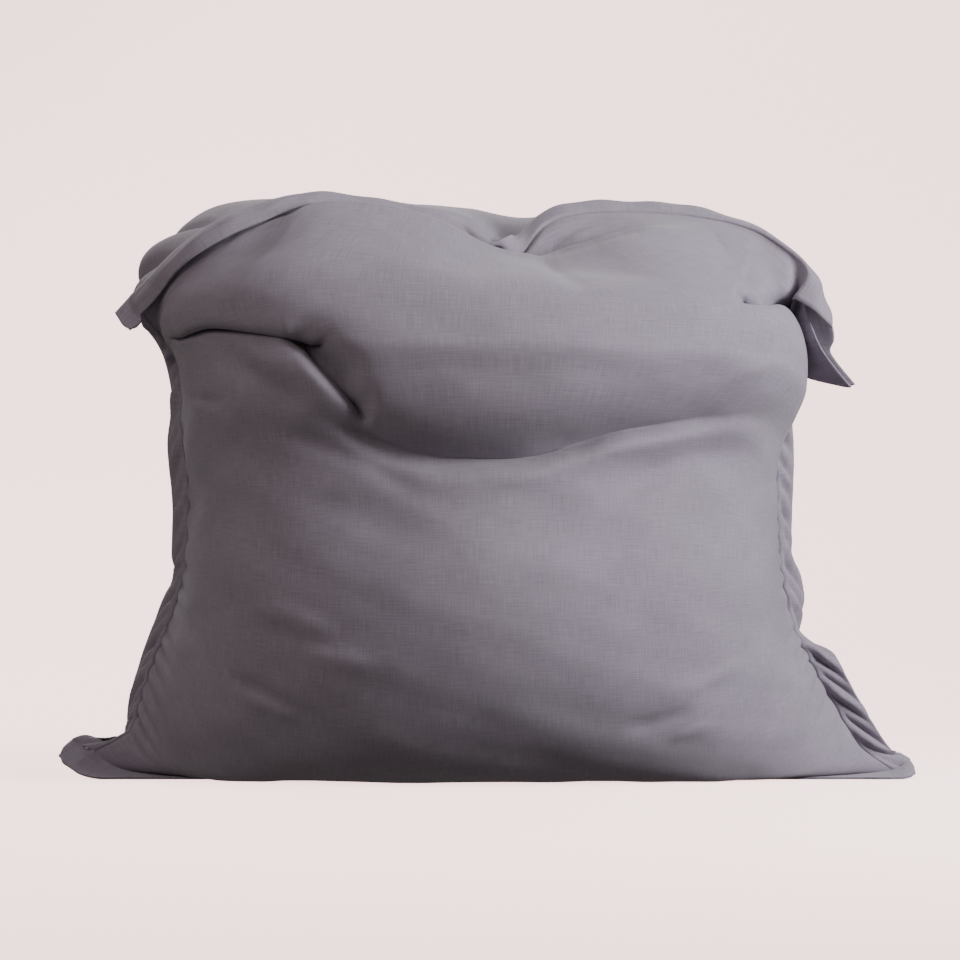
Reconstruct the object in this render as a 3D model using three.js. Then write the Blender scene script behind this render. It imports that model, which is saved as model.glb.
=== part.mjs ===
// A large outdoor pouf: a square filled bag of linen-like cloth that stands on its bottom seam.
// Its slack top has slumped over a waist crease, and a flat border runs round all four seams.
// Millimetres. X runs to the right, Y away from the viewer, Z up from the surface it stands on.
import * as THREE from 'three';
import { mergeVertices } from 'three/addons/utils/BufferGeometryUtils.js';

// Driving dimensions
const BORDER_WIDTH = 40;
const BORDER_THICKNESS = 3;
const ROOT_THICKNESS = 0.8;
const ROOT_GAP = 1.7;
const ROOT_STAND = 5;
const BORDER_STEPS = 3;
// Share of the way from straight out to the border's own lean at which it leaves the seam
const RISE_LEAN = 0.4;
// Along a border its root turns towards a corner first, then its lean and last its width
const LATE = { lean: 3, width: 6 };
const GROOVE = { height: 4, frontEnd: -72, frontFull: -50, backFull: 4, backEnd: 16 };
const END_INSET = 0.0012;
const CORNER_INSET = 0.16;
const CORNER_LAG = 0.4;
const MEND = 1e-3;

// Middle of the standing pouf's footprint, in the sections' own coordinates
const DATUM = { x: 1.1, y: 30.5 };

// Rows of the panels, denser over the foot and over the folds at the waist
const ROW_BANDS = [
  { to: 0.06, rows: 5 },
  { to: 0.14, rows: 4 },
  { to: 0.52, rows: 12 },
  { to: 0.84, rows: 18 },
  { to: 1.0, rows: 8 },
];
// Columns of the panels, denser over the left pocket
const COLUMN_BANDS = [
  { to: -0.8, rows: 4 },
  { to: -0.25, rows: 15 },
  { to: 0.2, rows: 10 },
  { to: 0.88, rows: 14 },
  { to: 1.0, rows: 4 },
];

// The side seams, from the bottom corners (t = 0) to the top corners (t = 1)
const SEAMS = [
  { t: 0.00, leftX: -560, leftY: 0, leftZ: 38, rightX: 585, rightY: 0, rightZ: 11 },
  { t: 0.06, leftX: -508, leftY: 5, leftZ: 68, rightX: 540, rightY: 5, rightZ: 42 },
  { t: 0.14, leftX: -490, leftY: 10, leftZ: 122, rightX: 505, rightY: 10, rightZ: 95 },
  { t: 0.24, leftX: -466, leftY: 12, leftZ: 187, rightX: 470, rightY: 12, rightZ: 158 },
  { t: 0.34, leftX: -440, leftY: 15, leftZ: 255, rightX: 443, rightY: 15, rightZ: 215 },
  { t: 0.44, leftX: -426, leftY: 15, leftZ: 325, rightX: 425, rightY: 15, rightZ: 290 },
  { t: 0.54, leftX: -424, leftY: 15, leftZ: 408, rightX: 419, rightY: 15, rightZ: 365 },
  { t: 0.66, leftX: -433, leftY: 15, leftZ: 505, rightX: 415, rightY: 15, rightZ: 450 },
  { t: 0.74, leftX: -432, leftY: 12, leftZ: 575, rightX: 412, rightY: 12, rightZ: 510 },
  { t: 0.82, leftX: -440, leftY: -6, leftZ: 610, rightX: 416, rightY: 6, rightZ: 565 },
  { t: 0.90, leftX: -470, leftY: -48, leftZ: 642, rightX: 424, rightY: -20, rightZ: 625 },
  { t: 1.00, leftX: -500, leftY: -75, leftZ: 684, rightX: 436, rightY: -72, rightZ: 682 },
];

// The middle of each panel, and half the angle of the arc that it makes in plan towards the left
// and the right, in degrees: over 90 the panel bulges out past its side seam. A flatness under 1
// squares the arc, and a high hang keeps the panel level until close to its side seams.
const PANELS = {
  front: [
    { t: 0.00, y: 0, z: 4.4, left: 60, right: 60, flatness: 0.6, hang: 7 },
    { t: 0.06, y: -75, z: 0, left: 68, right: 66, flatness: 0.6, hang: 5 },
    { t: 0.14, y: -148, z: 0, left: 74, right: 72, flatness: 0.7, hang: 3 },
    { t: 0.24, y: -245, z: 62, left: 80, right: 78, flatness: 0.85, hang: 1.8 },
    { t: 0.34, y: -300, z: 165, left: 85, right: 84, flatness: 0.95, hang: 1.6 },
    { t: 0.44, y: -308, z: 285, left: 88, right: 88, flatness: 0.95, hang: 1.6 },
    { t: 0.54, y: -284, z: 405, left: 90, right: 91, flatness: 0.95, hang: 1.6 },
    { t: 0.60, y: -276, z: 465, left: 91, right: 92, flatness: 0.95, hang: 1.6 },
    { t: 0.66, y: -312, z: 535, left: 93, right: 98, flatness: 0.95, hang: 1.6 },
    { t: 0.70, y: -325, z: 582, left: 95, right: 110, flatness: 0.95, hang: 1.6 },
    { t: 0.74, y: -330, z: 622, left: 98, right: 115, flatness: 0.95, hang: 1.6 },
    { t: 0.82, y: -285, z: 695, left: 108, right: 112, flatness: 0.95, hang: 1.6 },
    { t: 0.90, y: -200, z: 742, left: 96, right: 92, flatness: 0.95, hang: 1.6 },
    { t: 1.00, y: -80, z: 800, left: 70, right: 70, flatness: 1.0, hang: 1.6 },
  ],
  back: [
    { t: 0.00, y: 0, z: 4.4, left: 60, right: 60, flatness: 0.6, hang: 7 },
    { t: 0.06, y: 85, z: 0, left: 64, right: 64, flatness: 0.6, hang: 5 },
    { t: 0.14, y: 185, z: 0, left: 70, right: 70, flatness: 0.7, hang: 3 },
    { t: 0.24, y: 300, z: 58, left: 76, right: 76, flatness: 0.85, hang: 1.8 },
    { t: 0.34, y: 368, z: 160, left: 82, right: 82, flatness: 0.95, hang: 1.6 },
    { t: 0.44, y: 392, z: 280, left: 86, right: 86, flatness: 0.95, hang: 1.6 },
    { t: 0.54, y: 380, z: 400, left: 88, right: 88, flatness: 0.95, hang: 1.6 },
    { t: 0.60, y: 366, z: 465, left: 90, right: 89, flatness: 0.95, hang: 1.6 },
    { t: 0.66, y: 362, z: 535, left: 94, right: 90, flatness: 0.95, hang: 1.6 },
    { t: 0.74, y: 350, z: 620, left: 102, right: 94, flatness: 0.95, hang: 1.6 },
    { t: 0.82, y: 305, z: 710, left: 112, right: 98, flatness: 0.95, hang: 1.6 },
    { t: 0.87, y: 250, z: 765, left: 118, right: 100, flatness: 0.95, hang: 1.6 },
    { t: 0.93, y: 130, z: 808, left: 112, right: 94, flatness: 0.95, hang: 1.6 },
    { t: 1.00, y: -20, z: 760, left: 70, right: 70, flatness: 1.0, hang: 1.6 },
  ],
};

// The top seam from the left corner (s = -1) to the right corner (s = 1): two humps and a dip between
const TOP_SEAM = [
  { s: -1.00, x: -500, y: -75, z: 684 },
  { s: -0.80, x: -420, y: -138, z: 757 },
  { s: -0.60, x: -340, y: -142, z: 803 },
  { s: -0.40, x: -247, y: -105, z: 826 },
  { s: -0.20, x: -131, y: -70, z: 816 },
  { s: 0.00, x: -18, y: -55, z: 792 },
  { s: 0.09, x: 38, y: -85, z: 735 },
  { s: 0.19, x: 84, y: -50, z: 786 },
  { s: 0.30, x: 128, y: -35, z: 803 },
  { s: 0.45, x: 202, y: -20, z: 808 },
  { s: 0.65, x: 300, y: -15, z: 802 },
  { s: 0.82, x: 384, y: -20, z: 782 },
  { s: 0.91, x: 438, y: -42, z: 746 },
  { s: 0.96, x: 456, y: -62, z: 716 },
  { s: 1.00, x: 436, y: -72, z: 682 },
];
// Insets, in s and t, of the points under a border that set how it can lie
const UNDER = { sides: [0.012, 0.03, 0.06], top: [0.015, 0.03, 0.045, 0.06] };
// Half the step, in s, over which the top seam's own direction is taken
const SEAM_STEP = 0.004;
// Where each panel starts to turn towards that seam
const TOP_BLEND = { front: 0.72, back: 0.89 };
const FOLD_FADE = { sides: 5, top: 20 };

// Folds of the front panel, along a path in x and z. Depth is how far the cloth sinks, above and
// below how far the trough reaches to either side, slide how far the cloth above slips down over
// it, and taper the share of the path over which each end fades.
const FRONT_FOLDS = [
  {
    name: 'lip', depth: 34, above: 22, below: 16, slide: 10, taper: 0.12,
    path: [[-470, 618], [-413, 632], [-365, 638], [-310, 632], [-262, 622]],
  },
  {
    name: 'pocket', depth: 36, above: 54, below: 34, slide: 0, taper: 0.3,
    path: [[-300, 630], [-259, 605], [-233, 578], [-195, 545], [-150, 512]],
  },
  {
    name: 'waist', depth: 26, above: 44, below: 22, slide: 10, taper: 0.3,
    path: [
      [-300, 560], [-208, 510], [-120, 474], [-20, 458], [60, 459], [140, 484], [259, 508], [345, 517],
      [450, 520],
    ],
  },
  {
    name: 'second', depth: 9, above: 26, below: 20, slide: 0, taper: 0.5,
    path: [[-345, 513], [-244, 480], [-161, 452], [-95, 412], [10, 379]],
  },
  {
    name: 'right', depth: 10, above: 26, below: 22, slide: 0, taper: 0.5,
    path: [[134, 387], [192, 412], [259, 447], [345, 465], [410, 474]],
  },
  {
    name: 'pleat', depth: 26, above: 14, below: 12, slide: 8, taper: 0.2,
    path: [[352, 677], [384, 674], [418, 669]],
  },
];
const BACK_FOLDS = [
  {
    name: 'dip', depth: 30, above: 46, below: 46, slide: 0, taper: 0.5,
    path: [[38, 850], [30, 800], [12, 720], [-20, 640], [-40, 560]],
  },
  {
    name: 'leftWaist', depth: 20, above: 44, below: 26, slide: 6, taper: 0.4,
    path: [[-460, 575], [-360, 545], [-230, 505], [-90, 492]],
  },
  {
    name: 'rightWaist', depth: 18, above: 44, below: 26, slide: 6, taper: 0.4,
    path: [[80, 470], [210, 478], [330, 500], [450, 528]],
  },
  {
    name: 'foot', depth: 8, above: 30, below: 26, slide: 0, taper: 0.5,
    path: [[-380, 250], [-260, 205], [-120, 185], [60, 190]],
  },
];

// The border's corners, each a 40 mm square: where its seams meet, the ends of its two free edges
// and its tip
const CORNERS = {
  footLeft: { seam: [-560, 0, 38], side: [-590, 22, 55], end: [-588, -22, 14], tip: [-618, 0, 31] },
  footRight: { seam: [585, 0, 11], side: [608, 26, 26], end: [597, -36, 1.8], tip: [620, -10, 6] },
  topLeft: { seam: [-500, -75, 684], side: [-522, -81, 655], end: [-475, -107, 668], tip: [-499, -116, 638] },
  topRight: { seam: [436, -72, 682], end: [492, -82, 638] },
};

// The foot border slopes down from the seam by no more than steepest over its width, and turns
// towards its corners over a share of its length at either end
const FOOT_BORDER = { steepest: 24, share: 0.12 };

// How each border lies along its seam: 0 stands straight out, 1 lies flat on the back panel and
// -1 on the front one
const SIDE_BORDERS = {
  left: [
    { t: 0.00, fold: 0.3 },
    { t: 0.045, fold: 0.6 },
    { t: 0.062, fold: 0.9 },
    { t: 0.10, fold: 0.68 },
    { t: 0.20, fold: 0.56 },
    { t: 0.335, fold: 0.54 },
    { t: 0.385, fold: 0.70 },
    { t: 0.40, fold: 0.88 },
    { t: 0.425, fold: 0.64 },
    { t: 0.51, fold: 0.60 },
    { t: 0.62, fold: 0.60 },
    { t: 0.69, fold: 0.86 },
    { t: 0.745, fold: 0.78 },
    { t: 0.82, fold: 0.74 },
    { t: 0.92, fold: 0.84 },
    { t: 1.00, fold: 0.86 },
  ],
  right: [
    { t: 0.00, fold: 0.3 },
    { t: 0.06, fold: 0.05 },
    { t: 0.26, fold: 0.0 },
    { t: 0.30, fold: 0.35 },
    { t: 0.325, fold: 0.88 },
    { t: 0.36, fold: 0.82 },
    { t: 0.40, fold: 0.52 },
    { t: 0.45, fold: 0.55 },
    { t: 0.47, fold: 0.72 },
    { t: 0.51, fold: 0.70 },
    { t: 0.57, fold: 0.64 },
    { t: 0.66, fold: 0.54 },
    { t: 0.76, fold: 0.58 },
    { t: 0.84, fold: 0.74 },
    { t: 0.90, fold: 0.80 },
  ],
};
const TOP_BORDER = [
  { s: -1.00, fold: -0.70 },
  { s: -0.80, fold: -0.80 },
  { s: -0.60, fold: -0.84 },
  { s: -0.25, fold: -0.80 },
  { s: -0.05, fold: -0.60 },
  { s: 0.09, fold: -0.10 },
  { s: 0.19, fold: 0.2 },
  { s: 0.30, fold: 0.75 },
  { s: 0.50, fold: 0.84 },
  { s: 0.90, fold: 0.86 },
  { s: 0.97, fold: 0.96 },
  { s: 1.00, fold: 0.90 },
];

// The right border ends where the ear takes over. The ear hangs as a folded leaf: hem is its near
// free edge, root its hidden crease and wing its far edge.
const EAR_FROM = 0.87;
const EAR = [
  { hem: [451, -58, 688], root: [450, -31, 690], wing: [476, -42, 676] },
  { hem: [457, -66, 660], root: [444, -16, 664], wing: [492, -42, 648] },
  { hem: [464, -78, 640], root: [445, -14, 640], wing: [496, -36, 626] },
  { hem: [473, -86, 617], root: [450, -14, 610], wing: [491, -29, 611] },
  { hem: [484, -79, 600], root: [454, -13, 586], wing: [498, -31, 597] },
  { hem: [499, -70, 582], root: [460, -18, 573], wing: [510, -40, 581] },
  { hem: [520, -56, 558], root: [513, -50, 558.5], wing: [525, -53, 562] },
];

// The small woven tab lies on the left border by the bottom corner: over some of the panel's rows,
// and across the outer part of the border
const LABEL = { firstRow: 2, lastRow: 4, inner: 0.1, outer: 0.85, thickness: 1, gap: 0.5 };

const MU = THREE.MathUtils;

// A smooth curve through the column called name, over the column called along
function column(rows, along, name) {
  const xs = rows.map((row) => row[along]);
  const ys = rows.map((row) => row[name]);
  const slopes = xs.map((x, i) => {
    const a = Math.max(i - 1, 0);
    const b = Math.min(i + 1, xs.length - 1);
    return (ys[b] - ys[a]) / (xs[b] - xs[a]);
  });
  return (x) => {
    let i = 0;
    while (i < xs.length - 2 && x > xs[i + 1]) i += 1;
    const h = xs[i + 1] - xs[i];
    const u = MU.clamp((x - xs[i]) / h, 0, 1);
    const rise = u * u * (3 - 2 * u);
    const bend = h * u * (1 - u) * (slopes[i] * (1 - u) - slopes[i + 1] * u);
    return ys[i] * (1 - rise) + ys[i + 1] * rise + bend;
  };
}

// All the columns of a table at once
function columns(rows, along) {
  const names = Object.keys(rows[0]).filter((name) => name !== along);
  const curves = names.map((name) => [name, column(rows, along, name)]);
  return (x) => Object.fromEntries(curves.map(([name, curve]) => [name, curve(x)]));
}

const seamsAt = columns(SEAMS, 't');
const middleAt = { front: columns(PANELS.front, 't'), back: columns(PANELS.back, 't') };
const topSeamAt = columns(TOP_SEAM, 's');
const topFoldAt = columns(TOP_BORDER, 's');
const sideFoldAt = { left: columns(SIDE_BORDERS.left, 't'), right: columns(SIDE_BORDERS.right, 't') };

// A panel before its folds: s runs from the left seam (-1) to the right seam (1)
function ringPoint(face, s, t) {
  const seam = seamsAt(t);
  const middle = middleAt[face](t);
  const share = MU.smoothstep(s, -1, 1);
  const full = MU.degToRad(MU.lerp(middle.left, middle.right, share));
  const arc = Math.max((Math.cos(s * full) - Math.cos(full)) / (1 - Math.cos(full)), 0);
  const across = Math.sin(s * full) / Math.sin(full);
  const x = (seam.leftX + seam.rightX) / 2 + across * (seam.rightX - seam.leftX) / 2;
  const sideY = MU.lerp(seam.leftY, seam.rightY, (s + 1) / 2);
  const y = sideY + (middle.y - sideY) * arc ** middle.flatness;
  const sideZ = s < 0 ? seam.leftZ : seam.rightZ;
  const z = middle.z + (sideZ - middle.z) * (1 - arc) ** middle.hang;
  return new THREE.Vector3(x, y, z);
}

const withCurve = (fold) => {
  const curve = new THREE.CatmullRomCurve3(fold.path.map(([x, z]) => new THREE.Vector3(x, 0, z)));
  return { ...fold, points: curve.getPoints(40) };
};
const foldsOf = {
  front: { inward: 1, folds: FRONT_FOLDS.map(withCurve) },
  back: { inward: -1, folds: BACK_FOLDS.map(withCurve) },
};

// Signed distance from a fold's path, positive above it, and how far along the path that is
function nearest(points, x, z) {
  let best = { distance: Infinity, along: 0 };
  for (let i = 0; i < points.length - 1; i += 1) {
    const a = points[i];
    const dx = points[i + 1].x - a.x;
    const dz = points[i + 1].z - a.z;
    const u = MU.clamp(((x - a.x) * dx + (z - a.z) * dz) / (dx * dx + dz * dz), 0, 1);
    const ox = x - a.x - u * dx;
    const oz = z - a.z - u * dz;
    const distance = Math.hypot(ox, oz);
    if (distance < Math.abs(best.distance)) {
      const side = Math.sign(dx * oz - dz * ox) || 1;
      best = { distance: side * distance, along: (i + u) / (points.length - 1) };
    }
  }
  return best;
}

function applyFolds(point, folds, strength, inward) {
  const { x, z } = point;
  for (const fold of folds) {
    const { distance, along } = nearest(fold.points, x, z);
    const reach = distance > 0 ? fold.above : fold.below;
    const ends = MU.smoothstep(along, 0, fold.taper) * MU.smoothstep(1 - along, 0, fold.taper);
    const trough = Math.exp(-((distance / reach) ** 2));
    const lean = distance > 0 ? (distance / reach) * Math.exp(1 - distance / reach) : 0;
    point.y += inward * strength * fold.depth * ends * trough;
    point.z -= strength * fold.slide * ends * lean;
  }
}

function panelPoint(face, s, t) {
  const point = ringPoint(face, s, t);
  const share = (t - TOP_BLEND[face]) / (1 - TOP_BLEND[face]);
  if (share > 0) {
    const seam = topSeamAt(s);
    const shift = new THREE.Vector3(seam.x, seam.y, seam.z).sub(ringPoint(face, s, 1));
    point.addScaledVector(shift, share * share * (2 - share));
  }
  // The folds fade out close to the seams, which the two panels share
  const inset = Math.min(1, FOLD_FADE.sides * (1 - s * s)) * Math.min(1, FOLD_FADE.top * (1 - t));
  if (inset > 0) applyFolds(point, foldsOf[face].folds, inset, foldsOf[face].inward);
  const lift = GROOVE.height * MU.smoothstep(point.y, GROOVE.frontEnd, GROOVE.frontFull)
    * (1 - MU.smoothstep(point.y, GROOVE.backFull, GROOVE.backEnd));
  point.z = Math.max(point.z, lift);
  return point;
}

// Parameters from first on, spaced evenly within each band
function spaced(bands, first) {
  const parameters = [first];
  for (const { to, rows } of bands) {
    const start = parameters[parameters.length - 1];
    for (let k = 1; k <= rows; k += 1) parameters.push(start + ((to - start) * k) / rows);
  }
  return parameters;
}
const rowParameters = spaced(ROW_BANDS, 0);
const columnParameters = spaced(COLUMN_BANDS, -1);

// One closed mesh from grids of points whose rims meet. A flipped grid faces the other way. The
// cells are cut along the diagonals that run towards their grid's nearest corner.
function gridGeometry(grids) {
  const positions = [];
  const indices = [];
  for (const { grid, flip } of grids) {
    const base = positions.length / 3;
    const wide = grid[0].length;
    for (const line of grid) for (const p of line) positions.push(p.x, p.y, p.z);
    for (let j = 0; j < grid.length - 1; j += 1) {
      for (let i = 0; i < wide - 1; i += 1) {
        const a = base + j * wide + i;
        const b = a + 1;
        const c = a + wide + 1;
        const d = a + wide;
        const outward = (2 * i < wide - 1) === (2 * j < grid.length - 1);
        const cut = outward ? [a, b, c, a, c, d] : [a, b, d, b, c, d];
        indices.push(...(flip ? cut.reverse() : cut));
      }
    }
  }
  const geometry = new THREE.BufferGeometry();
  geometry.setAttribute('position', new THREE.Float32BufferAttribute(positions, 3));
  geometry.setIndex(indices);
  return mergeVertices(geometry, MEND);
}

// The filled bag: front panel and back panel, sewn along their common rim
function bagGeometry() {
  const panel = (face) => rowParameters.map((t) => columnParameters.map((s) => panelPoint(face, s, t)));
  return gridGeometry([{ grid: panel('front'), flip: false }, { grid: panel('back'), flip: true }]);
}

// A grid moved off itself along its normals, by distance(k) at the k-th point of each line
function offsetGrid(middle, distance) {
  const lastRow = middle.length - 1;
  const lastPoint = middle[0].length - 1;
  return middle.map((line, j) => line.map((p, k) => {
    const along = middle[Math.min(j + 1, lastRow)][k].clone().sub(middle[Math.max(j - 1, 0)][k]);
    const across = line[Math.min(k + 1, lastPoint)].clone().sub(line[Math.max(k - 1, 0)]);
    return p.clone().addScaledVector(along.cross(across).normalize(), distance(k));
  }));
}

// A sheet of cloth from a grid of points in its middle: thickness(k) is its thickness across
function sheetGeometry(middle, thickness) {
  const last = middle.length - 1;
  const end = middle[0].length - 1;
  const upper = offsetGrid(middle, (k) => thickness(k) / 2);
  const lower = offsetGrid(middle, (k) => -thickness(k) / 2);
  const rims = [
    [lower[0], upper[0]],
    [upper[last], lower[last]],
    [upper.map((line) => line[0]), lower.map((line) => line[0])],
    [lower.map((line) => line[end]), upper.map((line) => line[end])],
  ];
  return gridGeometry([
    { grid: upper, flip: true },
    { grid: lower, flip: false },
    ...rims.map((grid) => ({ grid, flip: true })),
  ]);
}

const vector = ([x, y, z]) => new THREE.Vector3(x, y, z);

// Turns direction a towards direction b by a share of the angle between them
function turned(a, b, share) {
  const angle = a.angleTo(b);
  const away = Math.sin((1 - share) * angle) / Math.sin(angle);
  const toward = Math.sin(share * angle) / Math.sin(angle);
  return a.clone().multiplyScalar(away).addScaledVector(b, toward);
}

// One line of a border's middle, from its seam to its free edge
function borderLine(start, out, lean, width) {
  const stand = start.clone().addScaledVector(out, ROOT_STAND);
  const line = [start, stand];
  for (let k = 1; k <= BORDER_STEPS; k += 1) {
    line.push(stand.clone().addScaledVector(lean, ((width - ROOT_STAND) * k) / BORDER_STEPS));
  }
  return line;
}

const borderThickness = (k) => (k === 0 ? ROOT_THICKNESS : BORDER_THICKNESS);

// The way in which a panel leaves its seam: of the chords to its points under a border, the one
// that is nearest to straight out
function leaving(seam, out, points) {
  const ways = points.map((p) => p.sub(seam).normalize());
  return ways.reduce((best, way) => (way.angleTo(out) < best.angleTo(out) ? way : best));
}

// A line of a border. The frame holds the seam's point, the way straight out and the ways in which
// the two panels leave. Near its ends a border turns towards its corners: wholly up to full, and
// partly up to share.
function foldedLine({ seam, out, front, back }, fold, p, ends) {
  const lean = turned(out, fold < 0 ? front : back, Math.abs(fold));
  const root = lean.clone();
  let width = BORDER_WIDTH;
  for (const { at, from, toward, full, share } of ends) {
    const near = 1 - MU.smoothstep(Math.abs(p - at), full, share);
    const aim = vector(toward).sub(vector(from));
    width = MU.lerp(width, aim.length(), near ** LATE.width);
    root.lerp(aim.normalize(), near).normalize();
    lean.lerp(aim, near ** LATE.lean).normalize();
  }
  const rise = out.clone().lerp(root, RISE_LEAN).normalize();
  return borderLine(seam.clone().addScaledVector(rise, ROOT_GAP), rise, lean, width);
}

// The square at a corner: its lines run from the seam side of the square to its far side
function cornerLines(corner, first) {
  const lines = [];
  for (let q = 1; q <= BORDER_STEPS; q += 1) {
    const share = q / BORDER_STEPS;
    const from = vector(corner.seam).lerp(vector(corner.side), share);
    const to = vector(corner.end).lerp(vector(corner.tip), share);
    lines.push(first.map((p, k) => {
      const across = (k + CORNER_LAG) / (first.length - 1 + CORNER_LAG);
      return from.clone().lerp(to, Math.max(across, CORNER_INSET));
    }));
  }
  return lines;
}

function sideBorderLine(side, t) {
  const s = side === 'left' ? -1 : 1;
  const seam = panelPoint('front', s, t);
  const out = new THREE.Vector3(s, 0, 0);
  const way = (face) => leaving(seam, out, UNDER.sides.map((inset) => panelPoint(face, s * (1 - inset), t)));
  const frame = { seam, out, front: way('front'), back: way('back') };
  const foot = side === 'left' ? CORNERS.footLeft : CORNERS.footRight;
  const ends = [{ at: 0, from: foot.seam, toward: foot.side, share: 0.06, full: 0.03 }];
  const { topLeft } = CORNERS;
  if (side === 'left') {
    ends.push({ at: 1, from: topLeft.seam, toward: topLeft.side, share: 0.05, full: 0.025 });
  }
  return foldedLine(frame, sideFoldAt[side](t).fold, t, ends);
}

function sideBorderGeometry(side) {
  const top = side === 'left' ? 1 - END_INSET : EAR_FROM;
  const parameters = [END_INSET, ...rowParameters.slice(1).filter((t) => t < top), top];
  const grid = parameters.map((t) => sideBorderLine(side, t));
  if (side === 'right') grid.reverse();
  return sheetGeometry(grid, borderThickness);
}

function topBorderGeometry() {
  const up = new THREE.Vector3(0, 0, 1);
  const { topLeft, topRight } = CORNERS;
  const ends = [
    { at: -1, from: topLeft.seam, toward: topLeft.end, share: 0.08, full: 0.04 },
    { at: 1, from: topRight.seam, toward: topRight.end, share: 0.1, full: 0 },
  ];
  const parameters = [-1 + END_INSET, ...columnParameters.slice(1, -1), 1 - END_INSET];
  const grid = parameters.map((s) => {
    const seam = panelPoint('front', s, 1);
    const ahead = panelPoint('front', s + SEAM_STEP, 1);
    const tangent = ahead.sub(panelPoint('front', s - SEAM_STEP, 1)).normalize();
    const way = (face) => {
      const lean = leaving(seam, up, UNDER.top.map((inset) => panelPoint(face, s, 1 - inset)));
      return lean.addScaledVector(tangent, -lean.dot(tangent)).normalize();
    };
    const front = way('front');
    const back = way('back');
    const out = up.clone().sub(front).sub(back).normalize();
    return foldedLine({ seam, out, front, back }, topFoldAt(s).fold, s, ends);
  });
  const square = cornerLines(topLeft, grid[0]).reverse();
  return sheetGeometry([...square, ...grid], borderThickness);
}

// Between the corners the foot border lies flat on the ground, forward of the seam above it
function footBorderGeometry() {
  const half = BORDER_THICKNESS / 2;
  const under = half + GROOVE.height - BORDER_THICKNESS;
  const grid = columnParameters.map((s) => {
    const seam = panelPoint('front', s, 0);
    const start = seam.clone().add(new THREE.Vector3(0, -ROOT_GAP, -under));
    const drop = Math.min(start.z - half, FOOT_BORDER.steepest);
    const forward = Math.sqrt(BORDER_WIDTH ** 2 - drop ** 2);
    let lean = new THREE.Vector3(0, -forward, -drop).normalize();
    let width = BORDER_WIDTH;
    for (const [at, corner] of [[-1, CORNERS.footLeft], [1, CORNERS.footRight]]) {
      const near = 1 - MU.smoothstep(Math.abs(s - at), 0, FOOT_BORDER.share);
      const aim = vector(corner.end).sub(start);
      width = MU.lerp(width, aim.length(), near);
      lean = lean.lerp(aim.normalize(), near).normalize();
    }
    return borderLine(start, lean, lean, width);
  });
  const left = cornerLines(CORNERS.footLeft, grid[0]).reverse();
  const right = cornerLines(CORNERS.footRight, grid[0]);
  const middle = [...left, ...grid, ...right];
  for (const line of middle) for (const p of line) p.z = Math.max(p.z, half);
  return sheetGeometry(middle, () => BORDER_THICKNESS);
}

function earGeometry() {
  const line = ({ hem, root, wing }) => {
    const points = [];
    for (let k = 0; k <= BORDER_STEPS; k += 1) points.push(vector(hem).lerp(vector(root), k / BORDER_STEPS));
    for (let k = 1; k <= BORDER_STEPS; k += 1) points.push(vector(root).lerp(vector(wing), k / BORDER_STEPS));
    return points;
  };
  return sheetGeometry(EAR.map(line), () => BORDER_THICKNESS);
}

function labelGeometry() {
  const around = rowParameters.slice(LABEL.firstRow - 1, LABEL.lastRow + 2);
  const lines = around.map((t) => sideBorderLine('left', t));
  const lift = (BORDER_THICKNESS + LABEL.thickness) / 2 + LABEL.gap;
  const raised = offsetGrid(lines, () => -lift).slice(1, -1);
  const middle = raised.map((line) => [LABEL.inner, LABEL.outer].map((share) => (
    line[BORDER_STEPS].clone().lerp(line[BORDER_STEPS + 1], share))));
  return sheetGeometry(middle, () => LABEL.thickness);
}

const cloth = new THREE.MeshStandardMaterial({ color: 0x8b8790, roughness: 0.95, metalness: 0 });
const hemCloth = new THREE.MeshStandardMaterial({ color: 0x7f7b84, roughness: 0.95, metalness: 0 });
const labelCloth = new THREE.MeshStandardMaterial({ color: 0x1c1a1d, roughness: 0.8, metalness: 0 });

const group = new THREE.Group();
function addPiece(name, geometry, material) {
  const mesh = new THREE.Mesh(geometry, material);
  mesh.name = name;
  mesh.position.set(-DATUM.x, -DATUM.y, 0);
  group.add(mesh);
}

addPiece('filled_bag', bagGeometry(), cloth);
addPiece('border_left', sideBorderGeometry('left'), hemCloth);
addPiece('border_right', sideBorderGeometry('right'), hemCloth);
addPiece('border_top', topBorderGeometry(), hemCloth);
addPiece('border_foot', footBorderGeometry(), hemCloth);
addPiece('ear_top_right', earGeometry(), hemCloth);
addPiece('label', labelGeometry(), labelCloth);

export default group;
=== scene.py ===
import bpy
import numpy as np
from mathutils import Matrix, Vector


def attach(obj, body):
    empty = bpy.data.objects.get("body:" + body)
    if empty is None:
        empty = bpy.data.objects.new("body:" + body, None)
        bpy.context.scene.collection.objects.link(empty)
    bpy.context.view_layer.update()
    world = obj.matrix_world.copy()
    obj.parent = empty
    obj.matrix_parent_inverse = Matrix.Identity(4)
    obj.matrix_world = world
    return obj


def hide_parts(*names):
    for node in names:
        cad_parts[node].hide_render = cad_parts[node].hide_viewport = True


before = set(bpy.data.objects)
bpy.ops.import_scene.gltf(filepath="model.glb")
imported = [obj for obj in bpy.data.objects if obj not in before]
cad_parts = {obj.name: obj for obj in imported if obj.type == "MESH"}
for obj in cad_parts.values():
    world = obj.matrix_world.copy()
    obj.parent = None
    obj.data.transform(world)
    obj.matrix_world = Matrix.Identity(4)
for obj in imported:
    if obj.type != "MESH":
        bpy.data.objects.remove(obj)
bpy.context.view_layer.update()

# Camera: level, straight in front, and so far off that the pouf shows nearly without perspective.
# Sizes in this file are millimetres until a mesh is made; X runs right, Y away, Z up. The datum is
# the place among them of the frame's origin.
MM = 0.001
DATUM = np.array([1.1, 30.5, 0.0])
CAMERA_OFFSET = -7.15
CAMERA_DISTANCE = 8000
CAMERA_HEIGHT = 426
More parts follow.
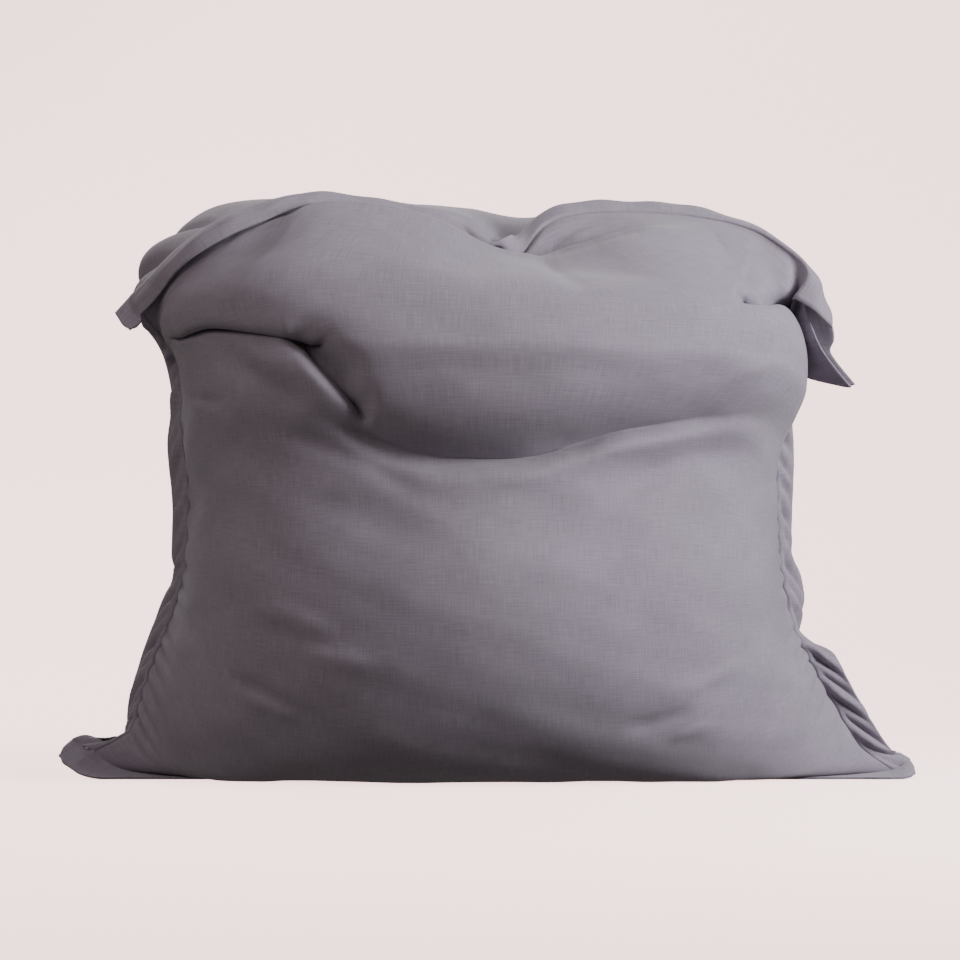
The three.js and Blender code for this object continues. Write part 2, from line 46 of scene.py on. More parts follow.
PICTURE_PIXELS = 960
MM_PER_PIXEL = 1.43
FRAME_WIDTH = PICTURE_PIXELS * MM_PER_PIXEL
SENSOR = 36

camera_data = bpy.data.cameras.new("camera")
camera_data.sensor_width = SENSOR
camera_data.lens = SENSOR * CAMERA_DISTANCE / FRAME_WIDTH
camera_data.clip_end = 5 * CAMERA_DISTANCE * MM
camera = bpy.data.objects.new("camera", camera_data)
camera.location = (np.array([CAMERA_OFFSET, -CAMERA_DISTANCE, CAMERA_HEIGHT]) - DATUM) * MM
camera.rotation_euler = (np.pi / 2, 0, 0)
bpy.context.scene.collection.objects.link(camera)
bpy.context.scene.camera = camera

# Filled bag: two square panels of linen-like outdoor cloth, sewn together all round and filled
# with loose beads. It stands on its bottom seam, and the slack top has slumped forward over a
# crease at the waist.
CLOTH_SIDE = 1220
COLUMNS, ROWS = 310, 310
# Over this stretch of Y the cloth is held off the floor, because the foot border lies below it
GROOVE = dict(height=4, front_end=-72, front_full=-50, back_full=4, back_end=16)


def table(names, text):
    """Columns of numbers by name, from one line of text per row."""
    values = np.array([[float(x) for x in line.split()] for line in text.strip().splitlines()])
    return dict(zip(names.split(), values.T))


def smooth(x, low, high):
    u = np.clip((x - low) / (high - low), 0, 1)
    return u * u * (3 - 2 * u)


def mix(a, b, share):
    return a + (b - a) * share


def along(columns, key):
    """For each column, a smooth curve through its values over the column named by key."""
    xs = columns[key]

    def curve(ys):
        low = np.maximum(np.arange(len(xs)) - 1, 0)
        high = np.minimum(np.arange(len(xs)) + 1, len(xs) - 1)
        slopes = (ys[high] - ys[low]) / (xs[high] - xs[low])

        def at(x):
            i = np.clip(np.searchsorted(xs, x, side="right") - 1, 0, len(xs) - 2)
            h = xs[i + 1] - xs[i]
            u = np.clip((x - xs[i]) / h, 0, 1)
            rise = u * u * (3 - 2 * u)
            bend = h * u * (1 - u) * (slopes[i] * (1 - u) - slopes[i + 1] * u)
            return ys[i] * (1 - rise) + ys[i + 1] * rise + bend

        return at

    return {name: curve(values) for name, values in columns.items() if name != key}


# The two side seams, from the bottom corners (t = 0) to the top ones (t = 1)
SEAMS = along(table("t left_x left_y left_z right_x right_y right_z", """
    0.00 -560   0  38  585   0  11
    0.06 -508   5  68  540   5  42
    0.14 -490  10 122  505  10  95
    0.24 -466  12 187  470  12 158
    0.34 -440  15 255  443  15 215
    0.44 -426  15 325  425  15 290
    0.54 -424  15 408  419  15 365
    0.66 -433  15 505  415  15 450
    0.74 -432  12 575  412  12 510
    0.82 -440  -6 610  416   6 565
    0.90 -470 -48 642  424 -20 625
    1.00 -500 -75 684  436 -72 682
"""), "t")
# The middle of each panel, as Y and Z over t, and its sections. Left and right are half the angle of
# its arc in plan; flat under 1 squares the arc, and a high hang keeps the panel level until close to
# its side seams.
PANELS = {
    "front": along(table("t y z left right flat hang", """
        0.00    0 4.4  60  60 0.60 7
        0.06  -75   0  68  66 0.60 5
        0.14 -148   0  74  72 0.70 3
        0.24 -245  62  80  78 0.85 1.8
        0.34 -300 165  85  84 0.95 1.6
        0.44 -308 285  88  88 0.95 1.6
        0.54 -284 405  90  91 0.95 1.6
        0.60 -276 465  91  92 0.95 1.6
        0.66 -312 535  93  98 0.95 1.6
        0.70 -325 582  95 110 0.95 1.6
        0.74 -330 622  98 115 0.95 1.6
        0.82 -285 695 108 112 0.95 1.6
        0.90 -200 742  96  92 0.95 1.6
        1.00  -80 800  70  70 1.00 1.6
    """), "t"),
    "back": along(table("t y z left right flat hang", """
        0.00    0 4.4  60  60 0.60 7
        0.06   85   0  64  64 0.60 5
        0.14  185   0  70  70 0.70 3
        0.24  300  58  76  76 0.85 1.8
        0.34  368 160  82  82 0.95 1.6
        0.44  392 280  86  86 0.95 1.6
        0.54  380 400  88  88 0.95 1.6
        0.60  366 465  90  89 0.95 1.6
        0.66  362 535  94  90 0.95 1.6
        0.74  350 620 102  94 0.95 1.6
        0.82  305 710 108  98 0.95 1.6
        0.87  250 765 108 100 0.95 1.6
        0.93  130 808 100  94 0.95 1.6
        1.00  -20 760  70  70 1.00 1.6
    """), "t"),
}
# The top seam, from the left corner (s = -1) to the right one (s = 1), and the height on each panel
# from which it bends over to that seam
TOP_SEAM = along(table("s x y z", """
    -1.00 -500  -75 684
    -0.80 -420 -138 757
    -0.60 -340 -142 803
    -0.40 -247 -105 826
    -0.20 -131  -70 816
     0.00  -18  -55 792
     0.09   38  -85 735
     0.19   84  -50 786
     0.30  128  -35 803
     0.45  202  -20 808
     0.65  300  -15 802
     0.82  384  -20 782
     0.91  438  -42 746
     0.96  456  -62 716
     1.00  436  -72 682
"""), "s")
TOP_BLEND = {"front": 0.72, "back": 0.89}

# Folds, each along a path in X and Z: the cloth sinks by depth, over a reach above and below the
# path, and the cloth above slides down over it, as far up as roll says. A drop lets the fold hang,
# and a negative depth is a ridge. Above is the left of the path as it runs, and each end fades out
# over the share of the path called taper.
FOLDS = {
    "front": {
        "lip": (dict(depth=34, above=9, below=7, slide=13, taper=0.10),
                [(-450, 622), (-422, 634), (-391, 643), (-362, 642), (-332, 638), (-301, 634),
                 (-272, 630), (-246, 623), (-220, 611)]),
        "lip_under": (dict(depth=20, above=6, below=34, slide=0, taper=0.2),
                      [(-446, 620), (-391, 640), (-332, 635), (-272, 627), (-220, 608)]),
        "pocket": (dict(depth=44, above=7, below=26, slide=9, taper=0.25),
                   [(-150, 514), (-175, 530), (-206, 554), (-232, 578), (-258, 606), (-290, 634)]),
        "pocket_mouth": (dict(depth=26, above=26, below=12, slide=0, taper=0.3),
                         [(-280, 634), (-250, 614), (-222, 592), (-196, 568), (-176, 548)]),
        "tongue": (dict(depth=-7, above=6, below=20, slide=0, taper=0.3),
                   [(-300, 618), (-268, 594), (-242, 566), (-216, 542), (-186, 518), (-156, 502)]),
        "left_trough": (dict(depth=17, above=16, below=24, slide=0, taper=0.3),
                        [(-395, 622), (-362, 606), (-330, 585), (-295, 561), (-266, 538), (-236, 518)]),
        "waist": (dict(depth=38, above=44, below=17, slide=16, taper=0.25),
                  [(-262, 528), (-208, 505), (-175, 493), (-122, 470), (-80, 461), (-44, 457), (50, 457),
                   (118, 474), (178, 495), (262, 508), (348, 517), (432, 520)]),
        "waist_roll": (dict(depth=-10, above=13, below=20, slide=0, taper=0.4),
                       [(-120, 443), (-20, 438), (60, 440), (130, 461), (260, 486), (388, 496)]),
        "second": (dict(depth=9, above=20, below=16, slide=0, taper=0.4),
                   [(-345, 513), (-292, 496), (-244, 480), (-196, 463), (-161, 452), (-95, 412), (10, 379)]),
        "right_second": (dict(depth=11, above=22, below=18, slide=0, taper=0.4),
                         [(134, 387), (192, 412), (259, 447), (345, 465), (396, 474)]),
        "notch": (dict(depth=9, above=9, below=9, slide=2, taper=0.4),
                  [(-425, 548), (-395, 541), (-355, 533)]),
        "brow_right": (dict(depth=-15, above=62, below=26, slide=0, taper=0.45),
                       [(406, 676), (420, 706), (427, 738), (426, 768)]),
        "pleat_roll": (dict(depth=-22, above=28, below=12, slide=0, taper=0.4),
                       [(330, 704), (362, 698), (394, 694), (418, 693), (440, 695), (464, 704)]),
        "pleat": (dict(depth=50, above=9, below=11, slide=7, roll=15, drop=15, taper=0.16),
                  [(350, 694), (366, 689), (392, 685), (418, 684), (438, 687), (452, 694)]),
        "pleat_under": (dict(depth=7, above=6, below=24, slide=0, taper=0.5),
                        [(290, 655), (345, 672), (400, 674)]),
        "pleat_ridge": (dict(depth=-6, above=12, below=12, slide=0, taper=0.5),
                        [(328, 556), (380, 580), (432, 607)]),
        "dip_ridge": (dict(depth=16, above=16, below=4, slide=0, taper=0.3),
                      [(72, 738), (90, 750), (108, 766), (127, 780), (143, 789), (175, 796), (214, 799)]),
        "brow_hollow": (dict(depth=14, above=15, below=5, slide=0, taper=0.25),
                        [(60, 740), (94, 745), (115, 750), (147, 759), (171, 767), (206, 776), (240, 780)]),
        "hole": (dict(depth=20, above=14, below=5, slide=0, taper=0.4),
                 [(30, 758), (44, 754), (58, 756)]),
        "left_low": (dict(depth=-4, above=15, below=20, slide=0, taper=0.4),
                     [(-340, 255), (-270, 236), (-200, 212)]),
        "left_low_2": (dict(depth=4, above=12, below=15, slide=0, taper=0.4),
                       [(-335, 232), (-265, 210), (-190, 188)]),
        "left_low_3": (dict(depth=-4, above=13, below=17, slide=0, taper=0.4),
                       [(-270, 192), (-205, 178), (-138, 168)]),
        "left_foot": (dict(depth=6, above=10, below=12, slide=0, taper=0.4),
                      [(-385, 165), (-330, 140), (-270, 112), (-215, 80)]),
        "left_foot_2": (dict(depth=-5, above=10, below=10, slide=0, taper=0.4),
                        [(-350, 130), (-300, 108), (-255, 88)]),
        "right_low": (dict(depth=-5, above=10, below=14, slide=0, taper=0.4),
                      [(245, 122), (320, 150), (392, 184)]),
        "right_low_2": (dict(depth=6, above=10, below=12, slide=0, taper=0.4),
                        [(185, 78), (240, 92), (300, 112)]),
        "right_low_3": (dict(depth=-4, above=9, below=9, slide=0, taper=0.4),
                        [(245, 62), (290, 75), (330, 90)]),
    },
    "back": {
        "dip": (dict(depth=30, above=46, below=46, slide=0, taper=0.5),
                [(38, 850), (30, 800), (12, 720), (-20, 640), (-40, 560)]),
        "left_waist": (dict(depth=22, above=40, below=20, slide=8, taper=0.4),
                       [(-460, 575), (-360, 545), (-230, 505), (-90, 492)]),
        "right_waist": (dict(depth=20, above=40, below=20, slide=8, taper=0.4),
                        [(80, 470), (210, 478), (330, 500), (450, 528)]),
        "foot": (dict(depth=8, above=26, below=22, slide=0, taper=0.5),
                 [(-380, 250), (-260, 205), (-120, 185), (60, 190)]),
        "left_hump": (dict(depth=9, above=24, below=24, slide=0, taper=0.5),
                      [(-380, 700), (-260, 742), (-120, 748)]),
        "right_hump": (dict(depth=8, above=22, below=22, slide=0, taper=0.5),
                       [(130, 730), (240, 728), (360, 690)]),
        "low_right": (dict(depth=6, above=14, below=16, slide=0, taper=0.5),
                      [(150, 210), (260, 172), (390, 160)]),
    },
}
INWARD = {"front": 1, "back": -1}

# The front panel's crest in front of the top seam: it stands up in an edge, and the top border
# sinks into the valley behind it, which ends a little before the seam
CREST_AT = 0.95
CREST_EDGE = dict(height=3.5, reach=0.006)
CREST_VALLEY = 1.15
CREST = along(table("s x y z weight sink", """
    -0.58 -339 -188 778 0.0  0
    -0.50 -297 -178 786 0.4  4
    -0.45 -270 -176 797 0.9 10
    -0.41 -251 -172 807 1.0 15
    -0.34 -212 -168 815 1.0 19
    -0.24 -151 -160 810 1.0 22
    -0.10  -74 -150 792 1.0 28
     0.00  -14 -146 762 1.0 32
     0.05   12 -142 751 1.0 34
     0.09   38 -138 744 1.0 32
     0.135  59 -136 742 1.0 28
     0.175  78 -134 739 1.0 26
     0.215  96 -134 745 1.0 24
     0.267 116 -132 751 1.0 22
     0.34  148 -130 760 1.0 20
     0.39  171 -128 768 1.0 17
     0.447 200 -126 776 0.9 13
     0.54  246 -122 783 0.6  7
     0.66  306 -116 786 0.0  0
"""), "s")

# How steeply the folds fade out towards the side seams and the top seam
FOLD_FADE = dict(sides=5, top=20)

# Single swells and hollows of each panel: where they are, how far they reach in s and t, and height.
# They fade out towards the side seams like the folds, and over a share of the panel's top.
SWELLS = {
    "front": table("s t reach_s reach_t height", """
         0.74 0.950 0.18 0.050   9
        -0.90 0.300 0.16 0.060   4
        -0.88 0.460 0.14 0.060   3
         0.90 0.240 0.14 0.060   4
    """),
    "back": table("s t reach_s reach_t height", """
        -0.58 0.945 0.13 0.050  19
        -0.765 0.925 0.06 0.050 16
        -0.68 0.930 0.02 0.070 -12
        -0.83 0.915 0.02 0.060 -12
        -0.90 0.910 0.05 0.055  17
         0.50 0.930 0.30 0.050   6
    """),
}
SWELL_FADE = dict(sides=12, top=0.03)

# Slow uneven swells in three sets, each with its height and how many waves it has over a panel. A
# set adds up so many waves, each with a share of its height.
WANDER = dict(seeds={"front": 4, "back": 9}, sets=((2.6, (2, 5)), (1.3, (5, 11)), (0.5, (12, 24))),
              waves=6, share=1 / 2.4)
WANDER_FADE = dict(sides=6, foot=(0.02, 0.2), top=(0.88, 1))

# The side seams pucker: they run in scallops, with a lump of cloth in each and a pinch between. The
# wanders, each with its size, its waves and its turn from side to side, make their spacing uneven.
PUCKER = dict(count=25, height=9.5, reach=15, scallop=4.0, wide=0.075, seam_level=0.6, cloth_level=0.55,
              wanders=((1.6, 9, 2), (0.6, 23, 1)))
PUCKER_SIZE = dict(mean=0.6, swing=0.4, waves=31, beat=12.7, upper=0.35, half_way=(0.4, 0.6),
                   foot=(0.01, 0.07), top=(0.88, 1))


def ring_points(face, s, t):
    """A panel before its folds: s runs from the left seam (-1) to the right seam (1)."""
    seam = {name: at(t) for name, at in SEAMS.items()}
    middle = {name: at(t) for name, at in PANELS[face].items()}
    full = np.radians(mix(middle["left"], middle["right"], smooth(s, -1, 1)))
    arc = np.maximum((np.cos(s * full) - np.cos(full)) / (1 - np.cos(full)), 0)
    across = np.sin(s * full) / np.sin(full)
    scallop = PUCKER["scallop"] * pucker_size(s, t) * (pucker_wave(s, t) - PUCKER["seam_level"])
    x = (seam["left_x"] + seam["right_x"]) / 2 + across * (seam["right_x"] - seam["left_x"]) / 2
    x += np.sign(s) * scallop * np.exp((np.abs(s) - 1) * CLOTH_SIDE / 2 / PUCKER["reach"])
    side_y = mix(seam["left_y"], seam["right_y"], (s + 1) / 2)
    y = side_y + (middle["y"] - side_y) * arc ** middle["flat"]
    side_z = np.where(s < 0, seam["left_z"], seam["right_z"])
    z = middle["z"] + (side_z - middle["z"]) * (1 - arc) ** middle["hang"]
    return np.stack([x, y, z], -1)


def pucker_wave(s, t):
    """From 0 at a pinch of a side seam to 1 in the middle of a lump."""
    side = np.where(s < 0, -1, 1)
    phase = np.pi * PUCKER["count"] * t
    for size, waves, turn in PUCKER["wanders"]:
        phase = phase + size * np.sin(waves * t + turn * side)
    return np.abs(np.sin(phase))


def pucker_size(s, t):
    """The pucker is strong over the lower half and weaker above it, and uneven all along."""
    size = PUCKER_SIZE
    side = np.where(s < 0, -1, 1)
    wave = np.sin(size["waves"] * t + 2 * side) * np.sin(size["beat"] * t + 1)
    strength = mix(1, size["upper"], smooth(t, *size["half_way"]))
    ends = smooth(t, *size["foot"]) * (1 - smooth(t, *size["top"]))
    return (size["mean"] + size["swing"] * wave) * strength * ends


def top_seam(s):
    return np.stack([TOP_SEAM[axis](s) for axis in "xyz"], -1)


def softened(path, steps=12):
    """A smooth line through the points of a path."""
    points = np.array(path, float)
    knots = dict(k=np.arange(len(points), dtype=float), x=points[:, 0], z=points[:, 1])
    line = along(knots, "k")
    k = np.linspace(0, len(points) - 1, steps * (len(points) - 1) + 1)
    return np.stack([line["x"](k), line["z"](k)], -1)


def nearest(path, x, z):
    """Signed distance from a path, positive on its left, how far along it that is, and its left there."""
    best = np.full(x.shape, np.inf)
    share, left_x, left_z = np.zeros(x.shape), np.zeros(x.shape), np.zeros(x.shape)
    last = len(path) - 1
    for i in range(last):
        step = path[i + 1] - path[i]
        length = np.hypot(*step)
        dx, dz = x - path[i][0], z - path[i][1]
        u = np.clip((dx * step[0] + dz * step[1]) / length**2, 0, 1)
        ox, oz = dx - u * step[0], dz - u * step[1]
        distance = np.hypot(ox, oz)
        closer = distance < np.abs(best)
        side = np.where(step[0] * oz - step[1] * ox < 0, -1, 1)
        best = np.where(closer, side * distance, best)
        share = np.where(closer, (i + u) / last, share)
        left_x = np.where(closer, -step[1] / length, left_x)
        left_z = np.where(closer, step[0] / length, left_z)
    return best, share, left_x, left_z


def fold_cloth(points, face, strength):
    """Lays a panel's folds into its points, as strongly at each point as strength says, from 0 to 1."""
    x, z = points[..., 0].copy(), points[..., 2].copy()
    for size, path in FOLDS[face].values():
        distance, share, left_x, left_z = nearest(softened(path), x, z)
        over = distance > 0
        reach = np.where(over, size["above"], size["below"])
        taper = size["taper"]
        ends = smooth(share, 0, taper) * smooth(1 - share, 0, taper) * strength
        near = ends * np.exp(-(distance / reach) ** 2)
        points[..., 1] += INWARD[face] * size["depth"] * near
        points[..., 2] -= size.get("drop", 0) * near
        roll = size.get("roll", size["above"])
        slip = np.where(over, distance / roll * np.exp(1 - np.abs(distance) / roll), 0)
        points[..., 0] -= left_x * size["slide"] * ends * slip
        points[..., 2] -= left_z * size["slide"] * ends * slip


def clear_of_sides(s, steepness):
    """1 over a panel, and down to 0 at its side seams."""
    return np.minimum(1, steepness * (1 - s * s))


def bent_points(face, s, t):
    """A panel bent over at the top, so that it ends on the top seam."""
    share = np.clip((t - TOP_BLEND[face]) / (1 - TOP_BLEND[face]), 0, 1)
    bend = (share * share * (2 - share))[..., None]
    return ring_points(face, s, t) + (top_seam(s) - ring_points(face, s, np.ones_like(t))) * bend


def raise_crest(points, s, t):
    """The front panel's top edge: it rises to the crest, and dips behind it on its way to the seam."""
    crest = {name: at(s) for name, at in CREST.items()}
    weight = crest["weight"]
    rise = np.clip((CREST_AT - t) / (CREST_AT - TOP_BLEND["front"]), 0, 1)
    fall = np.clip((t - CREST_AT) / (1 - CREST_AT), 0, 1)
    move = np.stack([crest[axis] for axis in "xyz"], -1)
    move -= bent_points("front", s, np.full_like(t, CREST_AT))
    points += move * (weight * (1 - smooth(rise, 0, 1)) * (1 - smooth(fall, 0, 1)))[..., None]
    points[..., 2] -= crest["sink"] * weight * np.sin(np.pi * np.minimum(1, fall * CREST_VALLEY)) ** 2
    edge = np.exp(-(((t - CREST_AT) / CREST_EDGE["reach"]) ** 2))
    points[..., 2] += CREST_EDGE["height"] * weight * edge


def panel_points(face, s, t):
    """A panel with its crest and its folds, but without its puckers and swells."""
    s, t = np.broadcast_arrays(np.asarray(s, float), np.asarray(t, float))
    points = bent_points(face, s, t)
    if face == "front":
        raise_crest(points, s, t)
    strength = clear_of_sides(s, FOLD_FADE["sides"]) * np.minimum(1, FOLD_FADE["top"] * (1 - t))
    fold_cloth(points, face, strength)
    lift = GROOVE["height"] * smooth(points[..., 1], GROOVE["front_end"], GROOVE["front_full"])
    lift *= 1 - smooth(points[..., 1], GROOVE["back_full"], GROOVE["back_end"])
    points[..., 2] = np.maximum(points[..., 2], lift)
    return points


def pucker_height(s, t):
    """How far the cloth stands off its smooth shape beside the side seams."""
    share = (1 - np.abs(s)) * CLOTH_SIDE / 2 / PUCKER["reach"]
    lumps = (pucker_wave(s, t) - PUCKER["cloth_level"]) * share * np.exp(1 - share)
    wide = np.sin(np.pi * PUCKER["count"] / 2 * t + np.where(s < 0, 1, 2)) * share * np.exp(1 - share / 2)
    return PUCKER["height"] * pucker_size(s, t) * (lumps + PUCKER["wide"] * wide)


def swell_height(face, s, t):
    height = np.zeros_like(s)
    for at_s, at_t, reach_s, reach_t, size in zip(*SWELLS[face].values()):
        height += size * np.exp(-(((s - at_s) / reach_s) ** 2) - ((t - at_t) / reach_t) ** 2)
    return height * clear_of_sides(s, SWELL_FADE["sides"]) * smooth(1 - t, 0, SWELL_FADE["top"])


def wander_height(face, s, t):
    """Slow uneven swells, so that no part of the filled cloth is quite smooth."""
    random = np.random.default_rng(WANDER["seeds"][face])
    height = np.zeros_like(s)
    for size, waves in WANDER["sets"]:
        for _ in range(WANDER["waves"]):
            k = random.uniform(*waves)
            heading, phase = random.uniform(0, np.pi), random.uniform(0, 2 * np.pi)
            run = s * np.cos(heading) + 2 * t * np.sin(heading)
            height += size * WANDER["share"] * np.cos(np.pi * k * run + phase)
    ends = smooth(t, *WANDER_FADE["foot"]) * (1 - smooth(t, *WANDER_FADE["top"]))
    return height * clear_of_sides(s, WANDER_FADE["sides"]) * ends


def unit(vectors):
    return vectors / np.maximum(np.linalg.norm(vectors, axis=-1, keepdims=True), 1e-9)


def outward(points, sign):
    """Normals of a grid of points whose first axis runs along t and second along s."""
    return sign * unit(np.cross(np.gradient(points, axis=1), np.gradient(points, axis=0)))


def mesh_piece(name, vertices, faces, uv, material):
    """One smooth-shaded piece, from its points and a UV for each corner of its faces."""
    mesh = bpy.data.meshes.new(name)
    mesh.from_pydata(((vertices - DATUM) * MM).tolist(), [], faces)
    mesh.polygons.foreach_set("use_smooth", [True] * len(faces))
    layer = mesh.uv_layers.new(name="cloth")
    layer.data.foreach_set("uv", (uv * MM).astype(np.float32).ravel())
    mesh.materials.append(material)
    mesh.update()
    piece = bpy.data.objects.new(name, mesh)
    bpy.context.scene.collection.objects.link(piece)
    return piece


def grid_faces(rows, columns):
    j, i = np.meshgrid(np.arange(rows - 1), np.arange(columns - 1), indexing="ij")
    a = j * columns + i
    return np.stack([a, a + 1, a + columns + 1, a + columns], -1).reshape(-1, 4)


class Socket:
    """A shader socket, on which Python's operators add Math nodes."""

    def __init__(self, nodes, socket):
        self.nodes, self.socket = nodes, socket

    def maths(self, operation, *others):
        return self.nodes.add("ShaderNodeMath", dict(operation=operation), dict(enumerate((self, *others))))

    def __add__(self, other):
        return self.maths("ADD", other)

    def __mul__(self, other):
        return self.maths("MULTIPLY", other)

    __radd__ = __add__
    __rmul__ = __mul__

    def sine(self):
        return self.maths("SINE")


class Nodes:
    """The node tree of one material."""

    def __init__(self, name):
        self.material = bpy.data.materials.new(name)
        self.material.use_nodes = True
        self.tree = self.material.node_tree
        self.shader = self.tree.nodes["Principled BSDF"]

    def put(self, socket, value):
        if isinstance(value, Socket):
            self.tree.links.new(value.socket, socket)
        else:
            socket.default_value = value

    def add(self, kind, settings=(), inputs=(), out=0):
        """One output of a new node, after its settings and the values or links of its sockets."""
        node = self.tree.nodes.new(kind)
        for key, value in dict(settings).items():
            if key == "stops":
                for element, (position, colour) in zip(node.color_ramp.elements, value):
                    element.position, element.color = position, (*colour, 1)
            else:
                setattr(node, key, value)
        for key, value in dict(inputs).items():
            self.put(node.inputs[key], value)
        return Socket(self, node.outputs[out])

    def finish(self, **inputs):
        """The material, once its shader's sockets have their values or links."""
        for key, value in inputs.items():
            self.put(self.shader.inputs[key.replace("_", " ")], value)
        return self.material


# Slubs in each metre of cloth, across and along it, and the shift that sets warp and weft apart
SLUBS = dict(warp=(700, 28, 0.3), weft=(30, 640, 7.1))
THREAD_PITCH = 0.0011
THREADS = 2 * np.pi / THREAD_PITCH
CLOTH_DARK = (0.242, 0.212, 0.262)
CLOTH_LIGHT = (0.352, 0.312, 0.380)


def linen(name, dark, light, seed):
    """Matt linen-like weave: slubs run along warp and weft, over a fine thread relief."""
    nodes = Nodes(name)
    uv = nodes.add("ShaderNodeUVMap", dict(uv_map="cloth"))

    def slubs(scale_u, scale_v, shift):
        spread = nodes.add("ShaderNodeMapping", {}, {
            "Vector": uv, "Scale": (scale_u, scale_v, 1), "Location": (seed + shift, shift, 0)})
        return nodes.add("ShaderNodeTexNoise", {}, {"Vector": spread, "Scale": 1.0, "Detail": 3.0})

    warp, weft = slubs(*SLUBS["warp"]), slubs(*SLUBS["weft"])
    blotch = nodes.add("ShaderNodeTexNoise", {}, {"Vector": uv, "Scale": 9.0, "Detail": 4.0})
    tone = warp * 0.42 + weft * 0.42 + blotch * 0.16
    colour = nodes.add("ShaderNodeValToRGB", dict(stops=((0.36, dark), (0.64, light))), {"Fac": tone})
    u, v = (nodes.add("ShaderNodeSeparateXYZ", {}, {"Vector": uv}, out=axis) for axis in "XY")
    threads = (u * THREADS).sine() * (v * THREADS).sine()
    relief = threads * 0.35 + warp * 0.5 + weft * 0.5
    bump = nodes.add("ShaderNodeBump", {}, {"Height": relief, "Strength": 0.35, "Distance": 0.0006})
    return nodes.finish(Base_Color=colour, Roughness=warp * 0.1 + 0.82, Normal=bump,
                        Sheen_Weight=0.25, Sheen_Roughness=0.5, Specular_IOR_Level=0.25)


cloth = linen("linen_cloth", CLOTH_DARK, CLOTH_LIGHT, 0.0)

# The mesh's columns and rows stand closer together where the cloth is folded
s_line = along(table("k s", """
    0.00 -1.00
    0.05 -0.96
    0.16 -0.80
    0.52 -0.20
    0.80  0.60
    0.95  0.96
    1.00  1.00
"""), "k")["s"](np.linspace(0, 1, COLUMNS + 1))
t_line = along(table("k t", """
    0.00 0.00
    0.08 0.06
    0.16 0.14
    0.44 0.60
    0.50 0.67
    0.72 0.81
    0.84 0.90
    1.00 1.00
"""), "k")["t"](np.linspace(0, 1, ROWS + 1))
s_grid, t_grid = np.meshgrid(s_line, t_line)
panels = {}
for face, sign in (("front", 1), ("back", -1)):
    points = panel_points(face, s_grid, t_grid)
    height = pucker_height(s_grid, t_grid) + wander_height(face, s_grid, t_grid)
    height += swell_height(face, s_grid, t_grid)
    points += outward(points, sign) * height[..., None]
    points[..., 2] = np.maximum(points[..., 2], 0)
    panels[face] = points

# The panels share the points of their rim, so that the bag is one closed skin
BACK_UV = (1500, 0)
rim = np.zeros(s_grid.shape, bool)
rim[[0, -1], :] = rim[:, [0, -1]] = True
count = s_grid.size
numbers = np.arange(count)
back_numbers = np.where(rim.ravel(), numbers, count + np.cumsum(~rim.ravel()) - 1)
quads = grid_faces(ROWS + 1, COLUMNS + 1)
flat_uv = np.stack([(s_grid + 1) / 2 * CLOTH_SIDE, t_grid * CLOTH_SIDE], -1).reshape(-1, 2)
bag = mesh_piece(
    "bag_cloth",
    np.concatenate([panels["front"].reshape(-1, 3), panels["back"].reshape(-1, 3)[~rim.ravel()]]),
    np.concatenate([quads, back_numbers[quads[:, ::-1]]]).tolist(),
    np.concatenate([flat_uv[quads].reshape(-1, 2), flat_uv[quads[:, ::-1]].reshape(-1, 2) + BACK_UV]),
    cloth,
)
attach(bag, "root")
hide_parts("filled_bag")

# Borders: the same cloth, doubled and pressed flat to a strip that stands outside the stitch line
# on each of the four seams. It is one strip with mitred corners, made here side by side.
BORDER_WIDTH = 40
BORDER_THICKNESS = 3.2
# Points across a border, along a side one and along a long one
ACROSS = 12
SIDE_ROWS = 260
LONG_ROWS = 320
# A border first stands off its seam by this much, in a direction this share of the way from straight
# out to its own lean, and then it leans over
ROOT_STAND = 5
RISE_LEAN = 0.4
# How far a folded border bows away from its panel
SIDE_BOW = 3.0
TOP_BOW = 9.0
# The free edge is a line evened out over this many points, because the hem hangs straighter than
# the puckered seam
EVEN_OVER = 13
# Ripples of each border as size, waves along the seam and phase. They run aslant across it, by this
# share of the seam, and stand highest nearer to the root than to the edge.
RIPPLES = dict(left=(7.0, 96, 0.6), right=(9.0, 92, 2.1), top=(2.0, 33, 1.0))
RIPPLE_BEAT = 0.37
RIPPLE_SKEW = 0.8
SLANT = 0.06
# Towards a corner a border's root turns first, then its lean and last its width
LATE = dict(lean=3, width=6)
# Thickness at the root and at the free edge, as shares, and in the edge the size of its two lips,
# half the gap between them and how deep it goes
EDGE = dict(root=0.5, flare=1.15, round=0.9, open=0.35, deep=4)
# UV across a strip, in border widths: over its upper layer, round the edge and back below
ACROSS_UV = dict(upper=(0, 1), edge=(1.02, 1.1), lower=(1.12, 2.12))
# How far inside its seam a panel shows which way it runs under the border, as shares of it
UNDER = dict(sides=(0.012, 0.03, 0.06), top=(0.015, 0.03))
# The square of border at each corner: the bag's corner, the ends of its two borders, and the tip,
# which is rounded off. Root is the share across at which the square starts, and at the top left the
# side border turns to a point further back.
CORNER_ROOT = 0.04
CORNER_STEPS = 9
TIP = dict(round=0.15, start=0.4)
CORNERS = dict(
    foot_left=dict(seam=(-560, 0, 38), side=(-590, 22, 55), end=(-588, -22, 14), tip=(-618, 0, 31)),
    foot_right=dict(seam=(585, 0, 11), side=(608, 26, 26), end=(597, -36, 1.8), tip=(620, -10, 6)),
    top_left=dict(seam=(-500, -75, 684), side=(-522, -80, 659), end=(-482, -95, 655),
                  tip=(-503, -101, 630), back=(-486, -62, 676), root=-0.12),
    top_right=dict(seam=(436, -72, 682), end=(492, -82, 638)),
)
